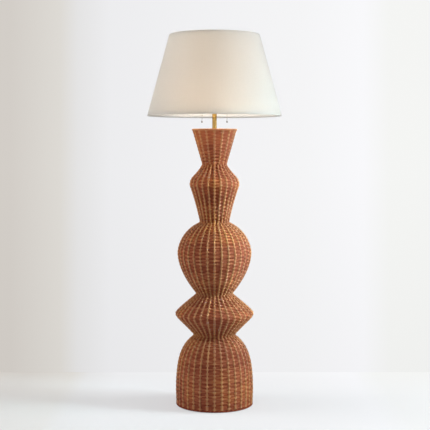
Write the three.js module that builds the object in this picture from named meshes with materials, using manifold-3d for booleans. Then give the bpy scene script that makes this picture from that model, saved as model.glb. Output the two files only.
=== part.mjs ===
// A rattan floor lamp, in millimetres, with +Z up and the front facing -Y.
// The origin is on the floor, under the lamp's axis.
// Five woven sections sit on one wire frame, which stands on an iron weight.
// A threaded pipe ties the weight, the body and the neck together. The neck carries a cluster
// with two pull-chain sockets, and a riser holds the linen shade by its spider.
import * as THREE from "three";
import { mergeVertices } from "three/addons/utils/BufferGeometryUtils.js";
import Module from "manifold-3d";

// Fits
const touch = 0.3; // left between two pieces that touch
const overrun = 6; // how far a cutter runs past what it cuts
const weld = 0.001; // vertices closer than this are one

// The woven body from the floor up: each section bulges out between two waists
const footRadius = 159.1;
const shoulderLean = 2.2; // from the foot out to the widest ring of the dome
const shoulderHeight = 60;
const domeHeight = 288.8;
const firstWaistRadius = 85.9;
const diamondLead = 4.3; // from the foot's radius out to the diamond's
const diamondRise = 89.6; // from its lower waist up to its widest ring
const diamondHeight = 171;
const secondWaistRadius = 76.4;
const globeLag = 4.4; // from the foot's radius in to the globe's
const globeRise = 170.7;
const globeHeight = 296.3;
const thirdWaistRadius = 61.9;
const urnRadius = 104.5;
const urnRise = 153.8;
const urnHeight = 239.5;
const fourthWaistRadius = 52;
const coneHeight = 147.4;
const rimRadius = 94.4;

// How a flank bends: its width share and height share at the first handle, next to the waist,
// and the height share over which it reaches the widest ring upright
const domeFlankShares = [0.67, 0.17, 0.65];
const diamondLowerShares = [0.7, 0.67, 0.2];
const diamondUpperShares = [0.51, 0.45, 0.15];
const globeLowerShares = [0.35, 0.19, 0.4];
const globeUpperShares = [0.85, 0.27, 0.15];
const urnLowerShares = [0.56, 0.72, 0.04];
const urnUpperShares = [0.54, 0.57, 0.43];

// The weave: stakes run up the body, and fine weavers fill the panels between them
const domeStakes = 33;
const diamondStakes = 35;
const globeStakes = 32;
const urnStakes = 24;
const coneStakes = 16;
const stakeLift = 3; // how far a stake stands out of the panels
const wall = 6.5; // from a panel's outside to the inside of the weave
// Places round one stake pitch, as a share of the pitch from the stake's middle and of its lift
const stakeShares = [
  { turn: 0, lift: 1 },
  { turn: 0.25, lift: 0 },
  { turn: 0.75, lift: 0 },
];
const borderWidth = 9;
const borderHeight = 8;
const footClearance = 1.5; // the lower border stays this far off the floor

// Foot
const feltThickness = 3;
const weightThickness = 16;
const weightClearance = 1.5; // to the inside of the weave
const weightChamfer = 2;
const nutPocketRadius = 15;
const nutPocketDepth = 9;
const washerRadius = 12;
const washerThickness = 1.5;

// Threaded pipe, the same thread from foot to shade
const pipeRadius = 4.9;
const pipeBore = 3.2;
const pipeRecess = 1; // from the weight's underside up to the pipe's foot
const nutRadius = 9;
const nutHeight = 5;
const cordHoleRise = 22.7; // from the weight's top up to the hole in the pipe and the bushing
const cordHoleRadius = 2.6;

// Cord bushing at the back
const bushingRadius = 5.5;
const bushingBore = 3.6;
const bushingFlangeRadius = 8.5;
const bushingFlange = 2.2;
const bushingTail = 3; // past its nut
const bushingNutRadius = 9;
const bushingNutHeight = 4;

// Wire frame inside the weave
const frameClearance = 3;
const hoopDepth = 3;
const hoopHeight = 4;
const rodRadius = 2.4;
const rodCount = 3;

// Top cap and neck
const capRecess = 10.5; // from the woven rim down to the cap's top
const capThickness = 4;
const capClearance = 1;
const seatRadius = 14;
const seatThickness = 3;
const neckRadius = 9.5;
const neckWall = 1.2;
const collarRadius = 13;
const collarHeight = 8;

// Cluster that joins neck, arms and riser
const clusterRise = 145; // from the woven rim up to the arms' axis
const clusterRadius = 17;
const clusterHalfHeight = 24;
const clusterShoulder = 5;
const clusterBossRadius = 10.5;
const clusterBossReach = 25;
const threadDepth = 13; // of a pipe or nipple in what it screws into

// Sockets, along the arms' axis
const capHubRadius = 9;
const capHubLength = 7;
const socketCapRadius = 18;
const socketCapLength = 20;
const socketCapSkirt = 6;
const socketWall = 1.2;
const socketOverlap = 5; // of shell inside cap
const shellLength = 40;
const shellWall = 0.9;
const interiorShort = 2; // the interior ends this far inside the shell
const screwClearance = 0.6; // round the bulb's base
const screwDepth = 21;

// Pull chains
const chainReach = 52; // from the lamp's axis
const guideRadius = 3;
const guideBore = 2.2;
const guideFlangeRadius = 4.6;
const guideFlange = 1.2;
const guideLength = 9;
const guideMouthRadius = 4.6;
const chainBoreDepth = 11; // into the socket's interior
const beadRadius = 1.6;
const beadPitch = 4.8;
const linkRadius = 0.55;
const beadCount = 22;
const beadTopShare = 0.45; // of the bead's radius, at its flat ends
const knobRadius = 3.5;
const knobHeight = 9;
const knobNeckAngle = Math.PI / 6; // from the ball's pole out to its collar

// Bulbs
const bulbBaseRadius = 13.1;
const bulbBaseLength = 24.5;
const bulbTipRadius = 5;
const bulbTipLength = 2;
const bulbConeLength = 3;
const bulbRadius = 30;
const bulbNeckRadius = 13;
const bulbNeckAngle = Math.PI / 5; // from the ball's pole out to the neck
const bulbLength = 85; // of the glass
const glassWall = 1;

// Shade
const shadeGap = 53; // from the woven rim up to the shade's lower edge
const shadeHeight = 338.5;
const shadeTopRadius = 187.9;
const shadeBottomRadius = 279.4;
const coverThickness = 1;
const linerThickness = 0.8;
const ringWireRadius = 1.6;
const ringInset = 3.2; // from the shade's edge to its ring wire
const spiderDrop = 24; // from the shade's upper edge down to the hub
const hubRadius = 16;
const hubThickness = 2.5;
const armRadius = 2;
const armCount = 3;
const armBend = 14;

// Riser, its seat and the finial
const riserSeatRadius = 14;
const riserSeatFlange = 3;
const riserSeatBarrelRadius = 8;
const riserSeatHeight = 13;
const studRadius = 3.1;
const studRise = 11; // above the hub
const finialRadius = 7.4;
const finialFootRadius = 6.6;
const finialFoot = 2.4;
const finialNeckRadius = 4.4;
const finialNeck = 3;
const finialHeight = 19;
const finialNeckAngle = Math.PI / 4; // from the ball's pole out to the neck

// Facets
const shadeSides = 36;
const footSides = 30;
const discSides = 24;
const socketSides = 12;
const roundSides = 10;
const hoopSides = 9; // a multiple of the rods, so that each rod meets a corner
const smallSides = 8;
const armSides = 6;
const nutSides = 6;
const beadSides = 5;
const borderSides = 5;
const bulbSides = 5; // from neck to pole
const rodSides = 4;
const ballSides = 4; // from neck to pole
const bendSides = 3; // in a spider arm's bend

// Heights and radii that follow from the sizes above
const shoulderRadius = footRadius + shoulderLean;
const diamondRadius = footRadius + diamondLead;
const globeRadius = footRadius - globeLag;
const firstWaist = domeHeight;
const secondWaist = firstWaist + diamondHeight;
const thirdWaist = secondWaist + globeHeight;
const fourthWaist = thirdWaist + urnHeight;
const rim = fourthWaist + coneHeight;
const weightBottom = feltThickness + touch;
const weightTop = weightBottom + weightThickness;
const weightRadius = footRadius - stakeLift - wall - weightClearance;
const pipeFoot = weightBottom + pipeRecess;
const cordHoleHeight = weightTop + cordHoleRise;
const borderTop = footClearance + borderHeight;
const capTop = rim - capRecess;
const seatTop = capTop + touch + seatThickness;
const clusterHeight = rim + clusterRise;
const clusterBottom = clusterHeight - clusterHalfHeight;
const clusterTop = clusterHeight + clusterHalfHeight;
const threadBore = pipeRadius + touch;
const shadeBottom = rim + shadeGap;
const shadeTop = shadeBottom + shadeHeight;
const hubTop = shadeTop - spiderDrop;
const hubBottom = hubTop - hubThickness;
const riserSeatTop = hubBottom - touch;
const shellRadius = socketCapRadius - socketWall - touch;
const interiorRadius = shellRadius - shellWall - touch;
const capStart = clusterBossReach + touch;
const capEnd = capStart + socketCapLength;
const shellStart = capEnd - socketOverlap;
const shellEnd = shellStart + shellLength;
const interiorEnd = shellEnd - interiorShort;
const screwRadius = bulbBaseRadius + screwClearance;
const screwBottom = interiorEnd - screwDepth;
const bulbStart = screwBottom + touch;
const glassStart = bulbStart + bulbBaseLength + touch;
const chainTop = clusterHeight - interiorRadius + chainBoreDepth - touch;
const chainBottom = chainTop - beadPitch * beadCount;

const wasm = await Module();
wasm.setup();

// A closed geometry as a solid that can be cut and joined
function solid(geometry) {
  const bare = geometry.index ? geometry.toNonIndexed() : geometry.clone();
  bare.deleteAttribute("normal");
  bare.deleteAttribute("uv");
  const merged = mergeVertices(bare, weld);
  return new wasm.Manifold(
    new wasm.Mesh({
      numProp: 3,
      vertProperties: merged.attributes.position.array,
      triVerts: new Uint32Array(merged.index.array),
    }),
  );
}

// The other way round: a solid as a geometry with flat faces
function geometryOf(shape) {
  const mesh = shape.getMesh();
  const geometry = new THREE.BufferGeometry();
  geometry.setAttribute("position", new THREE.BufferAttribute(mesh.vertProperties, 3));
  geometry.setIndex(new THREE.BufferAttribute(mesh.triVerts, 1));
  return geometry.toNonIndexed();
}

function cut(geometry, ...cutters) {
  return geometryOf(cutters.reduce((left, cutter) => left.subtract(solid(cutter)), solid(geometry)));
}

function join(...geometries) {
  return geometryOf(geometries.map(solid).reduce((whole, next) => whole.add(next)));
}

// A profile of [radius, height] pairs, anticlockwise from its lowest inner point, turned about Z
function turned(profile, sides) {
  const points = profile.map(([radius, height]) => new THREE.Vector2(radius, height));
  return new THREE.LatheGeometry(points, sides).rotateX(Math.PI / 2);
}

function ring(inner, outer, low, high, sides) {
  return turned([[inner, low], [outer, low], [outer, high], [inner, high], [inner, low]], sides);
}

function disc(radius, low, high, sides) {
  return turned([[0, low], [radius, low], [radius, high], [0, high]], sides);
}

// The angle from +X at a share of a full turn from the front, anticlockwise from above
function angleAt(turnShare) {
  return 2 * Math.PI * turnShare - Math.PI / 2;
}

function around(radius, turnShare, height) {
  const angle = angleAt(turnShare);
  return new THREE.Vector3(radius * Math.cos(angle), radius * Math.sin(angle), height);
}

// A closed geometry from points and faces
function closedMesh(points, faces) {
  const geometry = new THREE.BufferGeometry().setFromPoints(points);
  geometry.setIndex(faces.flat());
  return geometry.toNonIndexed();
}

// Outline of one flank, as [radius, height] pairs from the waist to the widest ring
function flank(waist, bulge, shares, steps) {
  const [widthShare, heightShare, uprightShare] = shares;
  const width = bulge[0] - waist[0];
  const height = bulge[1] - waist[1];
  const curve = new THREE.CubicBezierCurve(
    new THREE.Vector2(...waist),
    new THREE.Vector2(waist[0] + widthShare * width, waist[1] + heightShare * height),
    new THREE.Vector2(bulge[0], bulge[1] - uprightShare * height),
    new THREE.Vector2(...bulge),
  );
  return curve.getSpacedPoints(steps).map((point) => [point.x, point.y]);
}

// A section that bulges between two waists, from its lower end to its upper end
function bulgingRows(low, bulge, high, lowerShares, upperShares, lowerSteps, upperSteps) {
  const lower = flank(low, bulge, lowerShares, lowerSteps);
  const upper = flank(high, bulge, upperShares, upperSteps).reverse();
  return [...lower, ...upper.slice(1)];
}

// The part of a section's rows that its inside needs: both ends, the widest, and every other one
function insideOnly(rows, widest) {
  const last = rows.length - 1;
  return rows.filter((row, index) => index === 0 || index === last || (index - widest) % 2 === 0);
}

// The ends of a section are drawn back by half a touch from the next section
function endsApart(rows) {
  const [lowRadius, low] = rows[0];
  const [highRadius, high] = rows[rows.length - 1];
  return [[lowRadius, low + touch / 2], ...rows.slice(1, -1), [highRadius, high - touch / 2]];
}

// The inside of the weave: the wall is as thick across a slope as it is where it stands upright
function insideRows({ rows, widest }) {
  const inside = rows.map(([radius, height], row) => {
    const [lowRadius, low] = rows[Math.max(row - 1, 0)];
    const [highRadius, high] = rows[Math.min(row + 1, rows.length - 1)];
    const spread = Math.hypot(highRadius - lowRadius, high - low) / (high - low);
    return [radius - stakeLift - wall * spread, height];
  });
  return insideOnly(inside, widest);
}

function outsideRadius(rows, height) {
  const next = rows.findIndex((row) => row[1] >= height);
  const [highRadius, high] = rows[next];
  const [lowRadius, low] = rows[next - 1];
  return lowRadius + ((highRadius - lowRadius) * (height - low)) / (high - low);
}

const domeRows = [
  [footRadius, borderTop + touch / 2],
  ...flank([firstWaistRadius, firstWaist], [shoulderRadius, shoulderHeight], domeFlankShares, 4).reverse(),
];
const diamondRows = bulgingRows(
  [firstWaistRadius, firstWaist],
  [diamondRadius, firstWaist + diamondRise],
  [secondWaistRadius, secondWaist],
  diamondLowerShares,
  diamondUpperShares,
  3,
  2,
);
const globeRows = bulgingRows(
  [secondWaistRadius, secondWaist],
  [globeRadius, secondWaist + globeRise],
  [thirdWaistRadius, thirdWaist],
  globeLowerShares,
  globeUpperShares,
  3,
  4,
);
const urnRows = bulgingRows(
  [thirdWaistRadius, thirdWaist],
  [urnRadius, thirdWaist + urnRise],
  [fourthWaistRadius, fourthWaist],
  urnLowerShares,
  urnUpperShares,
  2,
  3,
);
const coneLine = [
  [fourthWaistRadius, fourthWaist],
  [rimRadius, rim],
];
const coneTop = rim - borderHeight;
const coneRows = [coneLine[0], [outsideRadius(coneLine, coneTop), coneTop]];

const sections = [
  { name: "woven_base_dome", rows: endsApart(domeRows), widest: 1, stakes: domeStakes, cordHole: true },
  { name: "woven_lower_diamond", rows: endsApart(diamondRows), widest: 3, stakes: diamondStakes },
  { name: "woven_globe", rows: endsApart(globeRows), widest: 3, stakes: globeStakes },
  { name: "woven_upper_urn", rows: endsApart(urnRows), widest: 2, stakes: urnStakes },
  { name: "woven_top_cone", rows: endsApart(coneRows), widest: 1, stakes: coneStakes },
];

// One woven section: raised stakes outside, plain inside, open at both ends
function wovenShell(section) {
  const { rows, stakes } = section;
  const perStake = stakeShares.length;
  const columns = stakes * perStake;
  const stakeIndexes = [...Array(stakes).keys()];
  const outside = rows.flatMap(([radius, height]) =>
    stakeIndexes.flatMap((stake) =>
      stakeShares.map(({ turn, lift }) =>
        around(radius - stakeLift * (1 - lift), (stake + turn) / stakes, height),
      ),
    ),
  );
  const innerRows = insideRows(section);
  const inside = innerRows.flatMap(([radius, height]) =>
    stakeIndexes.map((stake) => around(radius, stake / stakes, height)),
  );
  const outer = (row, column) => row * columns + ((column + columns) % columns);
  const inner = (row, stake) => outside.length + row * stakes + (stake % stakes);
  const faces = [];
  for (let row = 0; row < rows.length - 1; row++) {
    for (let column = 0; column < columns; column++) {
      faces.push([outer(row, column), outer(row, column + 1), outer(row + 1, column + 1)]);
      faces.push([outer(row, column), outer(row + 1, column + 1), outer(row + 1, column)]);
    }
  }
  for (let row = 0; row < innerRows.length - 1; row++) {
    for (let stake = 0; stake < stakes; stake++) {
      faces.push([inner(row, stake), inner(row + 1, stake + 1), inner(row, stake + 1)]);
      faces.push([inner(row, stake), inner(row + 1, stake), inner(row + 1, stake + 1)]);
    }
  }
  const top = rows.length - 1;
  const innerTop = innerRows.length - 1;
  for (let stake = 0; stake < stakes; stake++) {
    const first = stake * perStake - 1;
    for (let step = 0; step < perStake; step++) {
      faces.push([inner(innerTop, stake), outer(top, first + step), outer(top, first + step + 1)]);
      faces.push([inner(0, stake), outer(0, first + step + 1), outer(0, first + step)]);
    }
    faces.push([inner(innerTop, stake), outer(top, first + perStake), inner(innerTop, stake + 1)]);
    faces.push([inner(0, stake), inner(0, stake + 1), outer(0, first + perStake)]);
  }
  return closedMesh([...outside, ...inside], faces);
}

// A cylinder along Y or along X, from one place on that axis to another, at a given height
function drillAlongY(radius, from, to, height, sides) {
  return disc(radius, from, to, sides).rotateX(-Math.PI / 2).translate(0, 0, height);
}

function drillAlongX(radius, from, to, height, sides) {
  return disc(radius, from, to, sides).rotateY(Math.PI / 2).translate(0, 0, height);
}

// A hole at the back for the cord bushing
function drilledForCord(shell) {
  const hole = bushingRadius + touch;
  const start = weightRadius - overrun;
  return cut(shell, drillAlongY(hole, start, shoulderRadius + overrun, cordHoleHeight, roundSides));
}

// A rolled border: an oval section, its outer side flush with the weave
function border(outerRadius, low, sides) {
  const halfWidth = borderWidth / 2;
  const halfHeight = borderHeight / 2;
  const profile = [...Array(borderSides + 1).keys()].map((corner) => {
    const angle = (2 * Math.PI * corner) / borderSides;
    return [
      outerRadius - halfWidth + halfWidth * Math.cos(angle),
      low + halfHeight + halfHeight * Math.sin(angle),
    ];
  });
  return turned(profile, sides);
}

// How far out the frame can reach at each row of a section
function frameRows(section) {
  return insideRows(section).map(([radius, height]) => [
    radius * Math.cos(Math.PI / section.stakes) - frameClearance,
    height,
  ]);
}

// The frame's own outline: where two sections meet it keeps to the narrower one
function frameOutline() {
  const outline = [];
  for (const section of sections) {
    const rows = frameRows(section);
    const last = outline[outline.length - 1];
    if (last) {
      last[0] = Math.min(last[0], rows[0][0]);
      last[1] += touch / 2;
    }
    outline.push(...rows.slice(last ? 1 : 0));
  }
  const frameTop = capTop - capThickness - touch;
  const frameBottom = weightTop + touch;
  const top = outline[outline.length - 1];
  top[0] = outsideRadius(outline, frameTop);
  top[1] = frameTop;
  outline[0][1] = frameBottom;
  return outline;
}

// A bar of even section swept along [out, height] points, in the plane of X and Z
function sweptBar(path, radius, sides) {
  const direction = (from, to) => new THREE.Vector2(to[0] - from[0], to[1] - from[1]).normalize();
  const last = path.length - 1;
  const points = path.flatMap((point, step) => {
    const arriving = direction(path[Math.max(step - 1, 0)], path[Math.max(step, 1)]);
    const leaving = direction(path[Math.min(step, last - 1)], path[Math.min(step + 1, last)]);
    const along = arriving.add(leaving).normalize();
    return [...Array(sides).keys()].map((side) => {
      const angle = (2 * Math.PI * (side + 1 / 2)) / sides;
      const across = radius * Math.cos(angle);
      const [out, up] = [point[0] - along.y * across, point[1] + along.x * across];
      return new THREE.Vector3(out, radius * Math.sin(angle), up);
    });
  });
  const faces = [];
  for (let step = 0; step < last; step++)
    for (let side = 0; side < sides; side++) {
      const here = step * sides + side;
      const beside = step * sides + ((side + 1) % sides);
      faces.push([here, beside + sides, beside], [here, here + sides, beside + sides]);
    }
  for (let side = 1; side < sides - 1; side++) {
    const end = last * sides;
    faces.push([0, side, side + 1], [end, end + side + 1, end + side]);
  }
  return closedMesh(points, faces);
}

// A rod up the inside of the hoops, from the foot hoop to the top one
function frameRod(outline, turnShare) {
  const path = outline.map(([radius, height]) => [radius - hoopDepth, height]);
  path[0][1] += hoopHeight / 2;
  path[path.length - 1][1] -= hoopHeight / 2;
  return sweptBar(path, rodRadius, rodSides).rotateZ(angleAt(turnShare));
}

function hoop(outerRadius, low) {
  return ring(outerRadius - hoopDepth, outerRadius, low, low + hoopHeight, hoopSides);
}

// Hoops at the foot, at each bulge above the dome and at the top, welded to upright rods
function wireFrame() {
  const outline = frameOutline();
  const bulges = outline.filter(([radius, height], row) => {
    const below = outline[row - 1];
    const above = outline[row + 1];
    return above && height > shoulderHeight && radius > below[0] && radius > above[0];
  });
  const hoops = bulges.map(([radius, height]) => hoop(radius, height - hoopHeight / 2));
  const [footOutline, topOutline] = [outline[0], outline[outline.length - 1]];
  const topHoopLow = topOutline[1] - hoopHeight;
  const rods = [...Array(rodCount).keys()].map((rod) => frameRod(outline, rod / rodCount));
  return join(
    hoop(footOutline[0], footOutline[1]),
    ...hoops,
    hoop(outsideRadius(outline, topHoopLow), topHoopLow),
    ...rods,
  );
}

function feltPad() {
  return disc(weightRadius - weightChamfer, 0, feltThickness, discSides);
}

// An iron disc with a broken upper edge, bored for the pipe, with a pocket below for its nut
function baseWeight() {
  const pocketTop = weightBottom + nutPocketDepth;
  return turned(
    [
      [threadBore, pocketTop],
      [nutPocketRadius, pocketTop],
      [nutPocketRadius, weightBottom],
      [weightRadius, weightBottom],
      [weightRadius, weightTop - weightChamfer],
      [weightRadius - weightChamfer, weightTop],
      [threadBore, weightTop],
      [threadBore, pocketTop],
    ],
    discSides,
  );
}

function lockWasher() {
  const top = weightBottom + nutPocketDepth - touch;
  return ring(threadBore, washerRadius, top - washerThickness, top, smallSides);
}

function hexNut(low) {
  return cut(
    disc(nutRadius, low, low + nutHeight, nutSides),
    disc(threadBore, low - overrun, low + nutHeight + overrun, smallSides),
  );
}

function lockNut() {
  return hexNut(weightBottom + nutPocketDepth - washerThickness - nutHeight - 2 * touch);
}

function topNut() {
  return hexNut(weightTop + touch);
}

// The pipe has a hole at the back, near the foot, where the cord comes out to its bushing
function threadedPipe() {
  return cut(
    ring(pipeBore, pipeRadius, pipeFoot, clusterBottom + threadDepth, smallSides),
    drillAlongY(cordHoleRadius, 0, pipeRadius + overrun, cordHoleHeight, smallSides),
  );
}

// A flanged bushing from outside, and the nut that holds it from inside
function cordBushing() {
  const flangeInner = shoulderRadius + touch;
  const innerEnd = weightRadius - bushingNutHeight - bushingTail;
  return turned(
    [
      [bushingBore, innerEnd],
      [bushingRadius, innerEnd],
      [bushingRadius, flangeInner],
      [bushingFlangeRadius, flangeInner],
      [bushingFlangeRadius, flangeInner + bushingFlange / 2],
      [bushingFlangeRadius - bushingFlange / 2, flangeInner + bushingFlange],
      [bushingBore, flangeInner + bushingFlange],
      [bushingBore, innerEnd],
    ],
    roundSides,
  )
    .rotateX(-Math.PI / 2)
    .translate(0, 0, cordHoleHeight);
}

function bushingNut() {
  const outerFace = weightRadius;
  const innerFace = outerFace - bushingNutHeight;
  const bore = bushingRadius + touch;
  return cut(
    drillAlongY(bushingNutRadius, innerFace, outerFace, cordHoleHeight, nutSides),
    drillAlongY(bore, innerFace - overrun, outerFace + overrun, cordHoleHeight, roundSides),
  );
}

// The cap lies on the frame's top hoop, just inside the weave
function topCap() {
  const cone = sections[sections.length - 1];
  const inside = outsideRadius(insideRows(cone), capTop - capThickness);
  const radius = inside * Math.cos(Math.PI / cone.stakes) - capClearance;
  return ring(threadBore, radius, capTop - capThickness, capTop, discSides);
}

function neckSeat() {
  return ring(threadBore, seatRadius, capTop + touch, seatTop, roundSides);
}

function neckTube() {
  const top = clusterBottom - touch;
  return ring(neckRadius - neckWall, neckRadius, seatTop + touch, top, roundSides);
}

function neckCollar() {
  const top = clusterBottom - touch;
  const low = top - collarHeight;
  const bore = neckRadius + touch;
  const round = collarRadius - bore;
  return turned(
    [
      [bore, low],
      [bore + round / 2, low],
      [collarRadius, low + round / 2],
      [collarRadius, top],
      [bore, top],
      [bore, low],
    ],
    roundSides,
  );
}

// A turned body with a boss to each side, drilled along both axes
function clusterBody() {
  const narrow = clusterRadius - clusterShoulder;
  const body = turned(
    [
      [0, clusterBottom],
      [narrow, clusterBottom],
      [clusterRadius, clusterBottom + clusterShoulder],
      [clusterRadius, clusterTop - clusterShoulder],
      [narrow, clusterTop],
      [0, clusterTop],
    ],
    roundSides,
  );
  const reach = clusterBossReach;
  const boss = drillAlongX(clusterBossRadius, -reach, reach, clusterHeight, roundSides);
  const drillReach = reach + overrun;
  return cut(
    join(body, boss),
    disc(threadBore, clusterBottom - overrun, clusterTop + overrun, smallSides),
    drillAlongX(threadBore, -drillReach, drillReach, clusterHeight, smallSides),
  );
}

// Socket pieces are turned about Z here, with the lamp's axis at height zero, and laid over later
function armNipple() {
  return ring(
    pipeBore,
    pipeRadius,
    clusterBossReach - threadDepth,
    capStart + capHubLength,
    smallSides,
  );
}

function socketCap() {
  const hubEnd = capStart + capHubLength;
  const skirtStart = capEnd - socketCapSkirt;
  const innerRadius = socketCapRadius - socketWall;
  return turned(
    [
      [threadBore, capStart],
      [capHubRadius, capStart],
      [capHubRadius, hubEnd - socketWall],
      [(capHubRadius + socketCapRadius) / 2 + socketWall, hubEnd + socketWall],
      [socketCapRadius, skirtStart],
      [socketCapRadius, capEnd],
      [innerRadius, capEnd],
      [innerRadius, skirtStart],
      [(capHubRadius + socketCapRadius) / 2, hubEnd + 2 * socketWall],
      [threadBore, hubEnd],
      [threadBore, capStart],
    ],
    socketSides,
  );
}

// Shell and interior share a hole for the chain, which points down once the socket lies over
function chainDrill(radius, depthRadius) {
  return disc(radius, depthRadius, shellRadius + overrun, smallSides)
    .rotateY(Math.PI / 2)
    .translate(0, 0, chainReach);
}

function socketShell() {
  return cut(
    ring(shellRadius - shellWall, shellRadius, shellStart, shellEnd, socketSides),
    chainDrill(guideRadius + touch, shellRadius - overrun),
  );
}

function socketInterior() {
  return cut(
    turned(
      [
        [0, shellStart],
        [interiorRadius, shellStart],
        [interiorRadius, interiorEnd],
        [screwRadius, interiorEnd],
        [screwRadius, screwBottom],
        [0, screwBottom],
      ],
      socketSides,
    ),
    chainDrill(guideBore, interiorRadius - chainBoreDepth),
  );
}

// Where the chain leaves the socket: a short spout with a flange and a flared mouth
function chainGuide(sign) {
  const top = clusterHeight - interiorRadius - touch;
  const flangeTop = clusterHeight - shellRadius - touch;
  const mouth = flangeTop - guideLength;
  return turned(
    [
      [guideBore, mouth],
      [guideMouthRadius, mouth],
      [guideRadius, mouth + guideLength / 2],
      [guideRadius, flangeTop - guideFlange],
      [guideFlangeRadius, flangeTop - guideFlange],
      [guideFlangeRadius, flangeTop],
      [guideRadius, flangeTop],
      [guideRadius, top],
      [guideBore, top],
      [guideBore, mouth],
    ],
    smallSides,
  ).translate(sign * chainReach, 0, 0);
}

// Ball chain: hollow beads on short links, drawn as one turned outline
function pullChain(sign) {
  const profile = [[0, chainBottom]];
  const flat = beadRadius * beadTopShare;
  for (let bead = 0; bead < beadCount; bead++) {
    const low = chainBottom + bead * beadPitch;
    const middle = low + beadPitch / 2;
    profile.push([linkRadius, low]);
    profile.push([beadRadius, middle - flat]);
    profile.push([beadRadius, middle + flat]);
  }
  profile.push([linkRadius, chainTop], [0, chainTop]);
  return turned(profile, beadSides).translate(sign * chainReach, 0, 0);
}

// A ball with a short collar, closed round the chain's last bead
function chainKnob(sign) {
  const top = chainBottom - touch;
  const centre = top - knobHeight + knobRadius;
  const downwards = ballProfile(knobRadius, -centre, knobNeckAngle, ballSides);
  const ball = downwards.map(([radius, depth]) => [radius, -depth]).reverse();
  const profile = [...ball, [beadRadius, top], [0, top]];
  return turned(profile, smallSides).translate(sign * chainReach, 0, 0);
}

function bulbBase() {
  const coneStart = bulbStart + bulbTipLength;
  const end = bulbStart + bulbBaseLength;
  return turned(
    [
      [0, bulbStart],
      [bulbTipRadius, bulbStart],
      [bulbTipRadius, coneStart],
      [bulbBaseRadius, coneStart + bulbConeLength],
      [bulbBaseRadius, end],
      [0, end],
    ],
    socketSides,
  );
}

// Points of a ball's outline from an angle off its lowest point up to its top, on the axis
function ballProfile(radius, centre, startAngle, sides) {
  return [...Array(sides + 1).keys()].map((side) => {
    const angle = startAngle + ((Math.PI - startAngle) * side) / sides;
    return [side === sides ? 0 : radius * Math.sin(angle), centre - radius * Math.cos(angle)];
  });
}

// A pear-shaped glass, open at its neck
function bulbGlass() {
  const centre = glassStart + bulbLength - bulbRadius;
  const pear = (depth) => [
    [bulbNeckRadius - depth, glassStart],
    ...ballProfile(bulbRadius - depth, centre, bulbNeckAngle, bulbSides),
  ];
  const outside = pear(0);
  return turned([...outside, ...pear(glassWall).reverse(), outside[0]], roundSides);
}

// The shade's outer radius at a height
function shadeRadius(height) {
  const share = (height - shadeBottom) / shadeHeight;
  return shadeBottomRadius + (shadeTopRadius - shadeBottomRadius) * share;
}

// One layer of the shade, its outer side a given depth inside the outermost
function shadeLayer(depth, thickness, low, high) {
  const lowRadius = shadeRadius(low) - depth;
  const highRadius = shadeRadius(high) - depth;
  return turned(
    [
      [lowRadius - thickness, low],
      [lowRadius, low],
      [highRadius, high],
      [highRadius - thickness, high],
      [lowRadius - thickness, low],
    ],
    shadeSides,
  );
}

const linerDepth = coverThickness + touch;
const ringDepth = linerDepth + linerThickness + touch + ringWireRadius;

function ringWireCentre(height) {
  return shadeRadius(height + ringWireRadius) - ringDepth;
}

// A ring of wire, square in section and stood on its edge
function shadeRing(height) {
  const centre = ringWireCentre(height);
  return turned(
    [
      [centre, height - ringWireRadius],
      [centre + ringWireRadius, height],
      [centre, height + ringWireRadius],
      [centre - ringWireRadius, height],
      [centre, height - ringWireRadius],
    ],
    shadeSides,
  );
}

// Three arms run out from the hub and bend up to the shade's top ring
function shadeSpider() {
  const ringHeight = shadeTop - ringInset;
  const reach = ringWireCentre(ringHeight);
  const top = ringHeight - ringWireRadius - touch;
  const middle = hubBottom + armRadius;
  const bend = [...Array(bendSides + 1).keys()].map((side) => {
    const angle = (Math.PI * side) / (2 * bendSides);
    return [reach - armBend * (1 - Math.sin(angle)), middle + armBend * (1 - Math.cos(angle))];
  });
  const path = [[hubRadius / 2, middle], ...bend, [reach, top]];
  const hub = disc(hubRadius, hubBottom, hubTop, roundSides);
  const arms = [...Array(armCount).keys()].map((arm) =>
    sweptBar(path, armRadius, armSides).rotateZ(angleAt((arm + 1 / 2) / armCount)),
  );
  return cut(
    join(hub, ...arms),
    disc(studRadius + touch, hubBottom - overrun, hubTop + overrun, smallSides),
  );
}

const barrelBottom = riserSeatTop - riserSeatHeight;
const riserTop = riserSeatTop - riserSeatFlange - touch;

function riserRod() {
  return ring(pipeBore, pipeRadius, clusterTop - threadDepth, riserTop, smallSides);
}

// A turned seat on the riser's top, with a flange that the hub rests on
function riserSeat() {
  const flangeBottom = riserSeatTop - riserSeatFlange;
  return turned(
    [
      [threadBore, barrelBottom],
      [riserSeatBarrelRadius, barrelBottom],
      [riserSeatBarrelRadius, flangeBottom - riserSeatFlange],
      [riserSeatRadius, flangeBottom],
      [riserSeatRadius, riserSeatTop],
      [studRadius + touch, riserSeatTop],
      [studRadius + touch, flangeBottom],
      [threadBore, flangeBottom],
      [threadBore, barrelBottom],
    ],
    roundSides,
  );
}

// The stud screws down into the riser and up into the finial
function finialStud() {
  const foot = riserTop + touch;
  const shank = pipeBore - touch;
  const low = riserTop - threadDepth;
  return turned(
    [
      [0, low],
      [shank, low],
      [shank, foot],
      [studRadius, foot],
      [studRadius, hubTop + studRise],
      [0, hubTop + studRise],
    ],
    smallSides,
  );
}

// A ball on a short neck and foot, bored from below for the stud
function finial() {
  const low = hubTop + touch;
  const bore = studRadius + touch;
  const centre = low + finialHeight - finialRadius;
  const boreTop = hubTop + studRise + touch;
  const profile = [
    [bore, low],
    [finialFootRadius, low],
    [finialFootRadius, low + finialFoot / 2],
    [finialNeckRadius, low + finialFoot],
    [finialNeckRadius, low + finialFoot + finialNeck / 2],
    ...ballProfile(finialRadius, centre, finialNeckAngle, ballSides),
    [0, boreTop],
    [bore, boreTop],
    [bore, low],
  ];
  return turned(profile, roundSides);
}

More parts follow.
